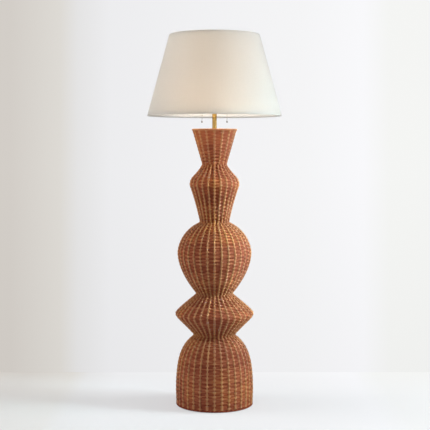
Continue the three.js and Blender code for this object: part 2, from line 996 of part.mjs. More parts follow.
// Finishes
function finish(color, roughness, metalness) {
  return () => new THREE.MeshStandardMaterial({ color, roughness, metalness });
}

const rattan = finish(0x9a5b3a, 0.6, 0);
const brass = finish(0xc9984a, 0.3, 1);
const steel = finish(0x8e8f90, 0.45, 1);
const castIron = finish(0x3c3c3e, 0.7, 1);
const felt = finish(0x4a4038, 0.95, 0);
const bronze = finish(0x5a4230, 0.5, 0.6);
const linen = finish(0xe6d8c4, 0.85, 0);
const liner = finish(0xf4f1ea, 0.6, 0);
const phenolic = finish(0x1d1c1b, 0.5, 0);
const nylon = finish(0x3a2a20, 0.45, 0);
const nickel = finish(0xb9bcc0, 0.3, 1);
const frosted = finish(0xf6f4ee, 0.5, 0);

const lamp = new THREE.Group();

function place(parent, name, material, geometry) {
  const mesh = new THREE.Mesh(geometry, material());
  mesh.name = name;
  parent.add(mesh);
}

// Foot
place(lamp, "felt_pad", felt, feltPad());
place(lamp, "base_weight", castIron, baseWeight());
place(lamp, "base_lock_washer", steel, lockWasher());
place(lamp, "base_lock_nut", steel, lockNut());
place(lamp, "base_top_nut", steel, topNut());
place(lamp, "threaded_pipe", steel, threadedPipe());

// Woven body on its frame
place(lamp, "foot_border", rattan, border(footRadius, footClearance, footSides));
for (const section of sections) {
  const shell = wovenShell(section);
  place(lamp, section.name, rattan, section.cordHole ? drilledForCord(shell) : shell);
}
place(lamp, "rim_border", rattan, border(rimRadius, coneTop, discSides));
place(lamp, "wire_frame", steel, wireFrame());
place(lamp, "cord_bushing", nylon, cordBushing());
place(lamp, "cord_bushing_nut", nylon, bushingNut());

// Neck and cluster
place(lamp, "top_cap", bronze, topCap());
place(lamp, "neck_seat", brass, neckSeat());
place(lamp, "neck_tube", brass, neckTube());
place(lamp, "neck_collar", brass, neckCollar());
place(lamp, "cluster_body", brass, clusterBody());

// Two sockets, alike, one to each side
for (const [side, sign] of [["left", -1], ["right", 1]]) {
  const arm = new THREE.Group();
  arm.position.z = clusterHeight;
  arm.rotation.y = Math.PI / 2;
  const turn = new THREE.Group();
  turn.rotation.z = sign < 0 ? Math.PI : 0;
  turn.add(arm);
  lamp.add(turn);
  place(arm, side + "_arm_nipple", brass, armNipple());
  place(arm, side + "_socket_cap", brass, socketCap());
  place(arm, side + "_socket_shell", brass, socketShell());
  place(arm, side + "_socket_interior", phenolic, socketInterior());
  place(arm, side + "_bulb_base", nickel, bulbBase());
  place(arm, side + "_bulb_glass", frosted, bulbGlass());
  place(lamp, side + "_chain_guide", brass, chainGuide(sign));
  place(lamp, side + "_pull_chain", nickel, pullChain(sign));
  place(lamp, side + "_chain_knob", nickel, chainKnob(sign));
}

// Riser and shade
place(lamp, "riser_rod", brass, riserRod());
place(lamp, "riser_seat", brass, riserSeat());
place(lamp, "finial_stud", steel, finialStud());
place(lamp, "shade_spider", steel, shadeSpider());
place(lamp, "shade_top_ring", steel, shadeRing(shadeTop - ringInset));
place(lamp, "shade_bottom_ring", steel, shadeRing(shadeBottom + ringInset));
place(lamp, "shade_liner", liner, shadeLayer(linerDepth, linerThickness, shadeBottom, shadeTop));
place(lamp, "shade_cover", linen, shadeLayer(0, coverThickness, shadeBottom, shadeTop));
place(lamp, "finial", brass, finial());

export default lamp;
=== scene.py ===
# Looks of a woven rattan floor lamp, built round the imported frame. +Z up, front facing -Y. Pieces are sized
# in millimetres, and the camera, the stage and the lamps in metres.
import math

import bpy
import numpy as np
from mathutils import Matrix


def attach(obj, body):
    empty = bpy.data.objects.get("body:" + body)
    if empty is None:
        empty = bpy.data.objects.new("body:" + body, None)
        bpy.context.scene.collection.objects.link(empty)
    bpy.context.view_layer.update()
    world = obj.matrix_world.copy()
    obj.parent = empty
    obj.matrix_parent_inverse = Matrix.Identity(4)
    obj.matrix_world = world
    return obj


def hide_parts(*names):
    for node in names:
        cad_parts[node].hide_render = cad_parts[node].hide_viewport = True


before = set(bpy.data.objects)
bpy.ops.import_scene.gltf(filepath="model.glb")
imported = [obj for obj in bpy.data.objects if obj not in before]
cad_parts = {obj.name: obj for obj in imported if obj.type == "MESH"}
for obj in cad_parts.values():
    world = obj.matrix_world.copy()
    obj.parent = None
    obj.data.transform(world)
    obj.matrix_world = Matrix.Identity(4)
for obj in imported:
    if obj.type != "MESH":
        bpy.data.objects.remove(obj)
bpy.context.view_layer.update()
mm = 0.001
print("frame loaded")


def addObject(name, data):
    made = bpy.data.objects.new(name, data)
    bpy.context.scene.collection.objects.link(made)
    return made


# Camera: level, in front of the lamp, with the frame shifted down to the photograph's cropping
photoCamera = {"lens": 86.4, "distance": 4.291, "height": 1.054, "shiftX": 0.0012, "shiftY": -0.1505}
cameraData = bpy.data.cameras.new("photoCamera")
cameraData.lens = photoCamera["lens"]
cameraData.shift_x = photoCamera["shiftX"]
cameraData.shift_y = photoCamera["shiftY"]
camera = addObject("photoCamera", cameraData)
camera.location = (0, -photoCamera["distance"], photoCamera["height"])
camera.rotation_euler = (math.pi / 2, 0, 0)
bpy.context.scene.camera = camera
bpy.context.scene.view_settings.view_transform = "Standard"
print("camera ready")


# Mesh from a grid of points: strands, then steps along each, then points round it. Each quad joins a point
# with the next round, the next along and both, so it faces outwards where along x round points inwards.
def gridMesh(name, grid, spans, wrapAlong=False, capped=False, values=None, hardAngle=180):
    strands, along, rounds = grid.shape[:3]
    stepCount = along if wrapAlong else along - 1
    strand, step, turn = (axis.reshape(-1, 1) for axis in np.meshgrid(
        np.arange(strands), np.arange(stepCount), np.arange(rounds), indexing="ij"))
    steps = step + np.array([0, 0, 1, 1])
    turns = turn + np.array([0, 1, 1, 0])
    corners = ((strand * along + steps % along) * rounds + turns % rounds).ravel()
    sides = np.full(len(step), 4)
    uv = np.stack([spans[0] * steps / stepCount, spans[1] * turns / rounds], axis=-1).reshape(-1, 2)
    if capped:
        ends = np.arange(strands)[:, None] * along * rounds + np.arange(rounds)
        ends = np.concatenate([ends[:, ::-1], ends + (along - 1) * rounds])
        corners = np.concatenate([corners, ends.ravel()])
        sides = np.concatenate([sides, np.full(len(ends), rounds)])
        uv = np.concatenate([uv, np.zeros((ends.size, 2))])
    mesh = bpy.data.meshes.new(name)
    mesh.vertices.add(strands * along * rounds)
    mesh.vertices.foreach_set("co", grid.astype(np.float32).ravel())
    mesh.loops.add(len(corners))
    mesh.loops.foreach_set("vertex_index", corners.astype(np.int32))
    mesh.polygons.add(len(sides))
    mesh.polygons.foreach_set("loop_start", (np.cumsum(sides) - sides).astype(np.int32))
    mesh.polygons.foreach_set("use_smooth", np.ones(len(sides), bool))
    mesh.update(calc_edges=True)
    mesh.uv_layers.new(name="surface").data.foreach_set("uv", uv.astype(np.float32).ravel())
    for label, value in (values or {}).items():
        full = np.broadcast_to(value, grid.shape[:3]).astype(np.float32)
        mesh.attributes.new(label, "FLOAT", "POINT").data.foreach_set("value", full.ravel())
    if hardAngle < 180:
        mesh.set_sharp_from_angle(angle=math.radians(hardAngle))
    return addObject(name, mesh)


# Angles evenly round a circle, and points round Z: a radius times cosine and sine of an angle, and a height
def evenAngles(count):
    return 2 * math.pi * np.arange(count) / count


def roundZ(radius, height, angle):
    return np.stack(np.broadcast_arrays(radius * np.cos(angle), radius * np.sin(angle), height), axis=-1)


# Tubes along paths: a point of the skin is the path's point plus the section's two half widths times cosine
# and sine of its angle, along the outward direction and across it.
def tubes(paths, outward, halfOut, halfAcross, sides, wrapped=False):
    if wrapped:
        tangent = np.roll(paths, -1, axis=1) - np.roll(paths, 1, axis=1)
    else:
        tangent = np.gradient(paths, axis=1)
    tangent /= np.linalg.norm(tangent, axis=-1, keepdims=True)
    across = np.cross(tangent, outward)
    across /= np.linalg.norm(across, axis=-1, keepdims=True)
    out = np.cross(across, tangent)
    angle = evenAngles(sides)
    widthOut = np.broadcast_to(halfOut, paths.shape[:2])[..., None, None]
    widthAcross = np.broadcast_to(halfAcross, paths.shape[:2])[..., None, None]
    return (paths[:, :, None] + widthOut * np.cos(angle)[:, None] * out[:, :, None]
            + widthAcross * np.sin(angle)[:, None] * across[:, :, None])


# A cubic Bezier curve: the sum of its four points, each times its product of powers of t and 1 - t
def bezier(start, first, second, end, count):
    t = np.linspace(0, 1, count)[:, None]
    return (1 - t) ** 3 * start + 3 * (1 - t) ** 2 * t * first + 3 * (1 - t) * t ** 2 * second + t ** 3 * end


# Points of an arc in a profile: the centre plus the radius times the sine of the angle from straight down,
# and less the radius times its cosine
def arc(centreRadius, centreHeight, radius, fromAngle, toAngle, count):
    angle = np.radians(np.linspace(fromAngle, toAngle, count))
    return list(zip(centreRadius + radius * np.sin(angle), centreHeight - radius * np.cos(angle)))


# Profile of a plain ring or disc: its four corners
def ring(bore, outer, low, high):
    return [(bore, low), (outer, low), (outer, high), (bore, high)]


rounding = {"nearShare": 0.36, "farShare": 0.46, "steps": (0, 0.33, 0.67, 1)}
axisRadius = 0.12  # where a profile that reaches the axis ends in a small cap
sharpAngle = 50


# Points moved towards others by a reach, but by no more than a share of the way
def towards(points, others, reach, share):
    way = others - points
    length = np.linalg.norm(way, axis=1, keepdims=True)
    return points + way / length * np.minimum(reach, share * length)


# Rounds a profile's corners: each gives way to a quadratic curve between two points a bevel away from it,
# with one more point beyond each end so that the flats shade flat.
def softened(profile, bevel, closed):
    points = np.array(profile, float)
    before = np.roll(points, 1, axis=0)
    after = np.roll(points, -1, axis=0)
    start = towards(points, before, bevel, rounding["nearShare"])
    end = towards(points, after, bevel, rounding["nearShare"])
    curve = [(1 - t) ** 2 * start + 2 * t * (1 - t) * points + t ** 2 * end for t in rounding["steps"]]
    farStart = towards(points, before, 2 * bevel, rounding["farShare"])
    farEnd = towards(points, after, 2 * bevel, rounding["farShare"])
    rows = np.stack([farStart, *curve, farEnd], axis=1)
    if closed:
        return rows.reshape(-1, 2)
    return np.concatenate([points[:1], rows[1:-1].reshape(-1, 2), points[-1:]])


# A grid turned over by a matrix and moved, in metres
def placed(grid, turn, move):
    return ((grid @ np.array(turn, float).T + np.array(move)) * mm)[None]


# A profile turned about Z: one that reaches the axis is capped there, and any other closes on itself
def turned(name, profile, sides, bevel=0.0, turn=np.eye(3), move=(0, 0, 0)):
    closed = min(profile[0][0], profile[-1][0]) > axisRadius
    rows = softened(profile, bevel, closed) if bevel else np.array(profile, float)
    if not closed:
        rows[:, 0] = np.maximum(rows[:, 0], axisRadius)
    grid = roundZ(rows[:, :1], rows[:, 1:], evenAngles(sides))
    size = np.abs(rows).max() * mm
    return gridMesh(name, placed(grid, turn, move), (size, 2 * math.pi * size), wrapAlong=closed,
                    capped=not closed, hardAngle=sharpAngle)


# Materials: short names for the nodes they are made of
def addNode(material, kind, inputs=None, **settings):
    tree = material.node_tree
    made = tree.nodes.new(kind)
    for label, value in settings.items():
        setattr(made, label, value)
    for label, value in (inputs or {}).items():
        if isinstance(value, bpy.types.NodeSocket):
            tree.links.new(value, made.inputs[label])
        else:
            made.inputs[label].default_value = value
    return made


def addRamp(material, factor, stops):
    made = addNode(material, "ShaderNodeValToRGB", {"Fac": factor})
    elements = made.color_ramp.elements
    while len(elements) < len(stops):
        elements.new(1)
    for element, (position, colour) in zip(elements, stops):
        element.position = position
        element.color = (*colour, 1)
    return made.outputs["Color"]


# A Mix node's two colours are its inputs 6 and 7, and the mixed colour is its output 2
def addMix(material, factor, first, second, blend="MIX"):
    inputs = {"Factor": factor, 6: first, 7: second}
    return addNode(material, "ShaderNodeMix", inputs, data_type="RGBA", blend_type=blend).outputs[2]


def addTint(material, colour, factor, stops):
    return addMix(material, 1.0, colour, addRamp(material, factor, stops), "MULTIPLY")


def addNoise(material, vector, scale, detail=3, roughness=0.55):
    inputs = {"Vector": vector, "Scale": scale, "Detail": detail, "Roughness": roughness}
    return addNode(material, "ShaderNodeTexNoise", inputs).outputs["Fac"]


def addStretch(material, vector, scale):
    return addNode(material, "ShaderNodeMapping", {"Vector": vector, "Scale": scale}).outputs["Vector"]


def addRange(material, value, fromLow, fromHigh, toLow, toHigh):
    inputs = {"Value": value, "From Min": fromLow, "From Max": fromHigh, "To Min": toLow, "To Max": toHigh}
    return addNode(material, "ShaderNodeMapRange", inputs).outputs["Result"]


def addMath(material, operation, first, second):
    return addNode(material, "ShaderNodeMath", {0: first, 1: second}, operation=operation).outputs[0]


# The surface becomes a mix of two shaders, and share is the second one's
def mixSurface(material, share, first, second, end="Material Output"):
    made = addNode(material, "ShaderNodeMixShader", {0: share, 1: first.outputs[0], 2: second.outputs[0]})
    material.node_tree.links.new(made.outputs[0], material.node_tree.nodes[end].inputs["Surface"])


def newMaterial(name, metallic=0.0, **uniform):
    material = bpy.data.materials.new(name)
    material.use_nodes = True
    shader = material.node_tree.nodes["Principled BSDF"]
    shader.inputs["Metallic"].default_value = metallic
    for label, value in uniform.items():
        shader.inputs[label].default_value = value
    return material, shader, addNode(material, "ShaderNodeTexCoord").outputs


def finishShader(material, shader, colour, roughness, height, depth):
    tree = material.node_tree
    tree.links.new(colour, shader.inputs["Base Color"])
    tree.links.new(roughness, shader.inputs["Roughness"])
    bump = addNode(material, "ShaderNodeBump", {"Height": height, "Distance": depth, "Strength": 1.0})
    tree.links.new(bump.outputs["Normal"], shader.inputs["Normal"])
    return material


noiseRange = (0.3, 0.7)  # where nearly all of a noise lies

# Stained cane, one tone per length of cane. Crossings over the stakes are lighter and gold, rubbed wear and
# painted light together, and panels are dark and reddish, with painted shade in the recesses.
caneLook = {
    "panel": [(0.0, (0.177, 0.038, 0.0195)), (0.35, (0.252, 0.062, 0.031)), (0.65, (0.338, 0.096, 0.047)),
              (0.85, (0.435, 0.15, 0.072)), (1.0, (0.332, 0.088, 0.052))],
    "rib": [(0.0, (0.4, 0.158, 0.058)), (0.5, (0.445, 0.19, 0.072)), (1.0, (0.5, 0.242, 0.092))],
    "rubAndLightFrom": (0.2, 0.6), "polishFrom": (0.2, 0.8), "polish": (0.08, 0.75), "rough": (0.42, 0.6),
    "patchNoise": (7, 2), "patch": [(0.35, (0.86, 0.8, 0.86)), (0.5, (1, 1, 1)), (0.65, (1.12, 1.16, 0.95))],
    "streakStretch": (40, 900, 1), "streakNoise": (1, 4),  # noises by scale and detail
    "streak": [(0.3, (0.72, 0.7, 0.7)), (0.55, (1, 1, 1)), (0.75, (1.14, 1.12, 1.08))],
    "mottleScale": 260, "depth": 0.00015,
    "varnish": {"Specular IOR Level": 0.0, "Coat Roughness": 0.34, "Coat IOR": 1.5},
}


def caneMaterial(name, look):
    material, shader, places = newMaterial(name, **look["varnish"])
    crest, tone = (addNode(material, "ShaderNodeAttribute", attribute_name=label).outputs["Fac"]
                   for label in ("crest", "tone"))
    patch = addNoise(material, places["Object"], *look["patchNoise"])
    stretched = addStretch(material, places["UV"], look["streakStretch"])
    streak = addNoise(material, stretched, *look["streakNoise"])
    mottle = addNoise(material, places["Object"], look["mottleScale"])
    panel = addRamp(material, tone, look["panel"])
    rib = addRamp(material, tone, look["rib"])
    # Rib colour on the crossings, wear and painted light, against the panels' painted shade
    colour = addMix(material, addRange(material, crest, *look["rubAndLightFrom"], 0, 1), panel, rib)
    colour = addTint(material, colour, patch, look["patch"])
    colour = addTint(material, colour, streak, look["streak"])
    roughness = addRange(material, mottle, *noiseRange, *look["rough"])
    polish = addRange(material, crest, *look["polishFrom"], *look["polish"])
    material.node_tree.links.new(polish, shader.inputs["Coat Weight"])
    return finishShader(material, shader, colour, roughness, streak, look["depth"])


# Two tones in soft clouds over a fine pattern, which also varies the gloss. A metal's pattern is of marks
# that run round the piece, and a painted or moulded surface has an even grain.
metalLook = {"metallic": 1.0, "cloudScale": 45, "stretch": (30, 30, 900), "grain": 1, "detail": 2,
             "depth": 0.00002}
plainLook = {"metallic": 0.0, "cloudScale": 30, "stretch": (1, 1, 1), "grain": 700, "detail": 3,
             "depth": 0.00005}


def clouded(name, look, first, second, rough, **own):
    look = {**look, **own}
    material, shader, places = newMaterial(name, look["metallic"])
    cloud = addNoise(material, places["Object"], look["cloudScale"])
    stretched = addStretch(material, places["Object"], look["stretch"])
    fine = addNoise(material, stretched, look["grain"], look["detail"])
    colour = addRamp(material, cloud, [(noiseRange[0], first), (noiseRange[1], second)])
    roughness = addRange(material, fine, *noiseRange, *rough)
    return finishShader(material, shader, colour, roughness, fine, look["depth"])


# Linen: plain weave on the piece's own map, which is in metres, with slubs both ways. A wave texture
# multiplies its vector by its scale and by 20, and one thread is one whole wave.
linenLook = {
    "thread": 0.00055, "waveFactor": 20, "warpShare": 0.45,
    "slubLong": 18, "slubFine": 1500, "slubShare": 0.4,
    "tones": [(0.3, (0.64, 0.645, 0.63)), (0.5, (0.72, 0.73, 0.72))],
    "gaps": [(0.1, (0.86, 0.86, 0.86)), (0.6, (1, 1, 1))], "rough": (0.8, 0.95), "depth": 0.00012,
    "fuzz": {"Sheen Weight": 0.6, "Sheen Roughness": 0.5},
}


def linenMaterial(name, look):
    material, shader, places = newMaterial(name, **look["fuzz"])
    across, upwards = (addStretch(material, places["UV"], way) for way in ((1, 0, 0), (0, 1, 0)))
    scale = 2 * math.pi / look["thread"] / look["waveFactor"]
    warp = addNode(material, "ShaderNodeTexWave", {"Vector": across, "Scale": scale})
    weft = addNode(material, "ShaderNodeTexWave", {"Vector": upwards, "Scale": scale}, bands_direction="Y")
    weave = addMix(material, 0.5, warp.outputs["Color"], weft.outputs["Color"])
    stretch = (look["slubLong"], look["slubFine"])
    slubWeft = addNoise(material, addStretch(material, places["UV"], (*stretch, 1)), 1)
    slubWarp = addNoise(material, addStretch(material, places["UV"], (*stretch[::-1], 1)), 1)
    slub = addMix(material, look["warpShare"], slubWeft, slubWarp)
    colour = addTint(material, addRamp(material, slub, look["tones"]), weave, look["gaps"])
    height = addMix(material, look["slubShare"], weave, slub)
    roughness = addRange(material, slub, *noiseRange, *look["rough"])
    return finishShader(material, shader, colour, roughness, height, look["depth"])


# Light through a sheet: a share of the surface passes light on instead of throwing it back
def letThrough(material, share, colour):
    passed = addNode(material, "ShaderNodeBsdfTranslucent", {"Color": (*colour, 1)})
    mixSurface(material, share, material.node_tree.nodes["Principled BSDF"], passed)


# Finishes by slot. The chain knobs are of steel too, but duller.
finishes = {
    "rattan": caneMaterial("stainedCane", caneLook),
    "brass": clouded("satinBrass", metalLook, (0.455, 0.275, 0.078), (0.515, 0.32, 0.1), (0.12, 0.2),
                     depth=0.000004),
    "nickel": clouded("nickelPlate", metalLook, (0.62, 0.61, 0.58), (0.7, 0.69, 0.67), (0.18, 0.3)),
    "steel": clouded("zincPlatedSteel", metalLook, (0.5, 0.5, 0.5), (0.62, 0.62, 0.6), (0.3, 0.48)),
    "bronze": clouded("brownEnamel", plainLook, (0.09, 0.045, 0.025), (0.12, 0.06, 0.033), (0.35, 0.5)),
    "iron": clouded("blackEnamel", plainLook, (0.018, 0.018, 0.019), (0.03, 0.03, 0.032), (0.4, 0.6),
                    grain=300, depth=0.00015),
    "felt": clouded("brownFelt", plainLook, (0.05, 0.034, 0.025), (0.075, 0.052, 0.038), (0.9, 1.0),
                    grain=1500, depth=0.0004),
    "nylon": clouded("darkNylon", plainLook, (0.03, 0.018, 0.012), (0.04, 0.024, 0.016), (0.4, 0.5)),
    "phenolic": clouded("blackMoulding", plainLook, (0.012, 0.012, 0.012), (0.02, 0.019, 0.018), (0.3, 0.45)),
    "frosted_glass": clouded("frostedGlass", plainLook, (0.82, 0.81, 0.78), (0.86, 0.85, 0.82), (0.35, 0.45),
                             grain=1200, depth=0.00002),
    "shade_liner": clouded("linerSheet", plainLook, (0.86, 0.84, 0.8), (0.88, 0.86, 0.82), (0.45, 0.6),
                           grain=900, depth=0.00003),
    "linen": linenMaterial("naturalLinen", linenLook),
}
passing = {"linen": (0.55, (0.845, 0.8, 0.745)), "shade_liner": (0.5, (0.92, 0.9, 0.87))}
for slot, (share, colour) in passing.items():
    letThrough(finishes[slot], share, colour)
dullNickel = clouded("dullNickel", metalLook, (0.27, 0.265, 0.255), (0.34, 0.335, 0.32), (0.3, 0.45))
print("materials ready")


# How a new piece joins the frame: its finish, from its slot unless a material is given, the body it rides on,
# and the CAD node it stands for, which is hidden
def settle(piece, body, slot, node, material=None):
    piece.data.materials.append(material or finishes[slot])
    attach(piece, body)
    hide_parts(node)
    return piece


# Woven body. A section runs up from its foot or lower waist to its bulge and on to its upper waist. Shares
# place a flank's two handles. Odd numbers of stakes take one strand, even ones two, so that rows alternate.
waists = [(85.9, 288.8), (76.4, 459.8), (61.9, 756.1), (52.0, 995.6)]
# Each section's tone is painted light: it makes the canes lighter or darker, and lightens the cone under the
# shade's shadow
sections = [
    {"name": "wovenDome", "node": "woven_base_dome", "stakes": 33, "row": 8.3, "tone": 0.12,
     "foot": (159.1, 9.6), "bulge": (161.3, 60.0), "upper": waists[0], "upperShares": (0.67, 0.17, 0.65)},
    {"name": "wovenDiamond", "node": "woven_lower_diamond", "stakes": 35, "row": 8.1, "tone": 0,
     "lower": waists[0], "lowerShares": (0.7, 0.67, 0.2), "bulge": (163.4, 378.4),
     "upper": waists[1], "upperShares": (0.51, 0.45, 0.15)},
    {"name": "wovenGlobe", "node": "woven_globe", "stakes": 32, "row": 7.4, "tone": 0.02,
     "lower": waists[1], "lowerShares": (0.35, 0.19, 0.4), "bulge": (154.7, 630.5),
     "upper": waists[2], "upperShares": (0.85, 0.27, 0.15)},
    {"name": "wovenUrn", "node": "woven_upper_urn", "stakes": 24, "row": 7.4, "tone": -0.06,
     "lower": waists[2], "lowerShares": (0.56, 0.72, 0.04), "bulge": (104.5, 909.9),
     "upper": waists[3], "upperShares": (0.54, 0.57, 0.43)},
    {"name": "wovenCone", "node": "woven_top_cone", "stakes": 16, "row": 7.0, "tone": 0.05,
     "line": (waists[3], (92.1, 1134.9))},
]
weave = {
    "spacing": 1.0, "flankPoints": 60, "waistBlend": 24,  # steps along an outline, and over how many it turns
    "pair": 2, "caneOut": 1.4, "caneShare": 0.286, "caneSides": 6,  # half a cane's thickness, and its width
    "bendShares": (0, 0.08, 0.16, 0.28, 0.72, 0.84, 0.92),  # where a cane bends, from one stake to the next
    "wrap": 4.1, "sway": 0.22, "behind": 0.62,  # a bend's reach, share of cosine, and depth behind a stake
    "tuck": 4, "endGap": 0.02, "liftIn": 0.12, "liftUp": 0.1, "thickVary": 0.04,
    "stakeRadius": 2.3, "stakePress": 1.4, "stakeSides": 8, "stakeStep": 6, "stakeLight": 0.7,
    "rubAndLightReach": 0.45, "waistRubAndLight": 0.55, "rubAndLightVary": 0.08,
    "caneLength": 1200, "lengthShares": (0.5, 1.5), "splices": 400,
    "caneTone": 0.6, "rowLightAndShade": 0.05, "topTone": 0.9, "seed": 11,
}


# A flank is a cubic Bezier from waist to bulge: it leaves along the first handle and arrives upright
def flank(waist, bulge, shares):
    waist, bulge = np.array(waist), np.array(bulge)
    width, height = bulge - waist
    first = waist + (shares[0] * width, shares[1] * height)
    second = bulge - (0, shares[2] * height)
    return bezier(waist, first, second, bulge, weave["flankPoints"])


# A section's outline from its lower end up, as radius and height at even steps along it
def sectionOutline(section):
    parts = [np.array(section["line"], float)] if "line" in section else []
    if "foot" in section:
        parts.append(np.array([section["foot"]], float))
    if "lower" in section:
        parts.append(flank(section["lower"], section["bulge"], section["lowerShares"])[:-1])
    if "upper" in section:
        parts.append(flank(section["upper"], section["bulge"], section["upperShares"])[::-1])
    points = np.concatenate(parts)
    reach = np.concatenate([[0], np.cumsum(np.linalg.norm(np.diff(points, axis=0), axis=1))])
    even = np.linspace(0, reach[-1], round(reach[-1] / weave["spacing"]) + 1)
    return np.stack([np.interp(even, reach, line) for line in points.T], axis=1)


# Outward directions: the outlines' slopes, averaged over some steps across the waists, turned a right angle
outlines = [sectionOutline(section) for section in sections]
starts = np.cumsum([0] + [len(line) for line in outlines])
blend = weave["waistBlend"]
slopes = np.concatenate([np.gradient(line, axis=0) for line in outlines])
padded = np.pad(slopes, ((blend, blend), (0, 0)), mode="edge")
window = np.ones(blend) / blend
smooth = np.stack([np.convolve(line, window, "same") for line in padded.T], axis=1)[blend:-blend]
outwards = np.stack([smooth[:, 1], -smooth[:, 0]], axis=1)
outwards /= np.linalg.norm(outwards, axis=1, keepdims=True)


def lengthOf(index):
    return (len(outlines[index]) - 1) * weave["spacing"]


def radiusAt(index, distance):
    return np.interp(distance / weave["spacing"], np.arange(len(outlines[index])), outlines[index][:, 0])


# Points a given depth inside the outline, at a distance along it and an angle from the front, with the
# outward direction there: radius and height are read off the outline and moved in along that direction.
def underOutline(index, distance, turn, depth):
    step = distance / weave["spacing"]
    steps = np.arange(len(outlines[index]))
    radius, height = (np.interp(step, steps, line) for line in outlines[index].T)
    out, up = (np.interp(step, steps, line) for line in outwards[starts[index]:starts[index + 1]].T)
    angle = turn - math.pi / 2
    return roundZ(radius - depth * out, height - depth * up, angle), roundZ(out, up, angle)


# How far a place's colour goes to the lighter rib colour, rubbed wear and painted light together: least in
# the waists, which are painted in shade, and full once the radius has grown by a share of the section's range
def rubAndLightShare(index, radius):
    radii = outlines[index][:, 0]
    share = (radius - radii.min()) / (weave["rubAndLightReach"] * (radii.max() - radii.min()))
    return weave["waistRubAndLight"] + (1 - weave["waistRubAndLight"]) * np.clip(share, 0, 1)


# How far out a cane is, from 1 over a stake to -1 behind one: a bell curve of the distance from the nearest
# stake, less the one round the next stake, and in part a cosine. Each strand swings against the other.
def swingAt(places, pitch, strand):
    nearest = np.round(places)
    away = np.abs(places - nearest) * pitch
    bell = np.exp(-(away / weave["wrap"]) ** 2) - np.exp(-((pitch - away) / weave["wrap"]) ** 2)
    sway = np.cos(math.pi * (places - nearest))
    return ((1 - weave["sway"]) * bell + weave["sway"] * sway) * (-1) ** (nearest + strand)


# A random share for each length of cane: splices lie at summed random lengths, and each stretch picks its own
def splicedShares(length, rng):
    splices = np.cumsum(weave["caneLength"] * rng.uniform(*weave["lengthShares"], weave["splices"]))
    return np.stack([rng.random(weave["splices"] + 1)[np.searchsorted(splices, reach)] for reach in length])


# Weavers: a strand climbs the outline in a spiral, one row per turn and strand, as a pair of canes side by
# side. A place on it is counted in stakes from the front, and its depth follows its swing, less deep behind
# a stake than over one. The first and the last turn lie level, and both ends are tucked inside. Two strands
# make a piece each, and a single strand makes one for each cane.
def weavers(index, strand, strands, rng):
    section = sections[index]
    stakes = section["stakes"]
    total = lengthOf(index)
    turns = round(total / section["row"] / strands)
    row = total / turns / strands
    start = stakes / 2
    end = start + (turns + 2) * stakes
    places = (np.arange(start // 1, end // 1 + 1)[:, None] + np.array(weave["bendShares"])).ravel()
    places = places[(places > start + weave["endGap"]) & (places < end - weave["endGap"])]
    places = np.concatenate([[start], places, [end]])
    lanes = row * ((np.arange(weave["pair"]) + 0.5) / weave["pair"] - 0.5)[:, None]
    distance = np.clip(row * strands * ((places - start) / stakes - 1), row / 2, total - row / 2)
    knots = rng.normal(0, 1, (3, weave["pair"], (turns + 2) * stakes + 2))
    thick, lift, rubAndLightJitter = (np.stack([np.interp(places - start, np.arange(lane.size), lane) for lane in knot])
                        for knot in knots)
    radius = radiusAt(index, distance)
    swing = swingAt(places, 2 * math.pi * radius / stakes, strand)
    reach = np.where(swing > 0, swing, weave["behind"] * swing)
    toEnd = np.clip(1 - np.minimum(places - start, end - places), 0, 1)
    depth = weave["caneOut"] + (weave["caneOut"] + weave["stakeRadius"]) * (1 - reach)
    depth = depth + weave["liftIn"] * np.abs(lift) + weave["tuck"] * toEnd
    turn = 2 * math.pi * places / stakes + math.pi * strand
    height = np.clip(distance + lanes + weave["liftUp"] * lift, 0, total)
    points, outward = underOutline(index, height, turn, depth)
    size = 1 + weave["thickVary"] * thick
    across = weave["caneShare"] * row
    grid = tubes(points, outward, weave["caneOut"] * size, across * size, weave["caneSides"]) * mm
    length = np.cumsum(np.linalg.norm(np.diff(points, axis=1, prepend=points[:, :1]), axis=-1), axis=1)
    layer = np.floor((places - start) / stakes) * (strands == 1) + strand
    # Tone by length of cane, shifted by the section's painted light
    tone = 0.5 + weave["caneTone"] * (splicedShares(length, rng) - 0.5) + section["tone"]
    # Alternate rows a little lighter and darker, painted light and shade of rows in front and behind
    tone = np.clip(tone + weave["rowLightAndShade"] * (-1) ** layer, 0, weave["topTone"])[..., None]
    # Crest picks the rib colour, wear and painted light, with painted shade in the waists
    crest = (np.clip(swing + weave["rubAndLightVary"] * rubAndLightJitter, 0, 1) * rubAndLightShare(index, radius))[..., None]
    spans = (length.max() * mm, 2 * math.pi * across * mm)
    groups = [slice(cane, cane + 1) for cane in range(weave["pair"])] if strands == 1 else [slice(None)]
    return [gridMesh(section["name"] + letter, grid[group], spans, capped=True,
                     values={"crest": crest[group], "tone": tone[group]})
            for letter, group in zip("AB"[strand:], groups)]


# Stakes: one rod for each outward crossing, straight up the section at one depth, pressed into the canes
def stakeRods(index, rng):
    section = sections[index]
    stakes, total, radius = section["stakes"], lengthOf(index), weave["stakeRadius"]
    count = round(total / weave["stakeStep"])
    distance = np.broadcast_to(np.linspace(0, total, count), (stakes, count))
    turn = evenAngles(stakes)[:, None]
    points, outward = underOutline(index, distance, turn, 2 * weave["caneOut"] + radius - weave["stakePress"])
    grid = tubes(points, outward, radius, radius, weave["stakeSides"]) * mm
    # Stakes lean towards the lighter rib colour, painted light on rods that lie behind the crossings
    values = {"crest": weave["stakeLight"] * rubAndLightShare(index, radiusAt(index, distance))[..., None],
              "tone": rng.random((stakes, 1, 1))}
    spans = (total * mm, 2 * math.pi * radius * mm)
    return gridMesh(section["name"] + "Stakes", grid, spans, capped=True, values=values)


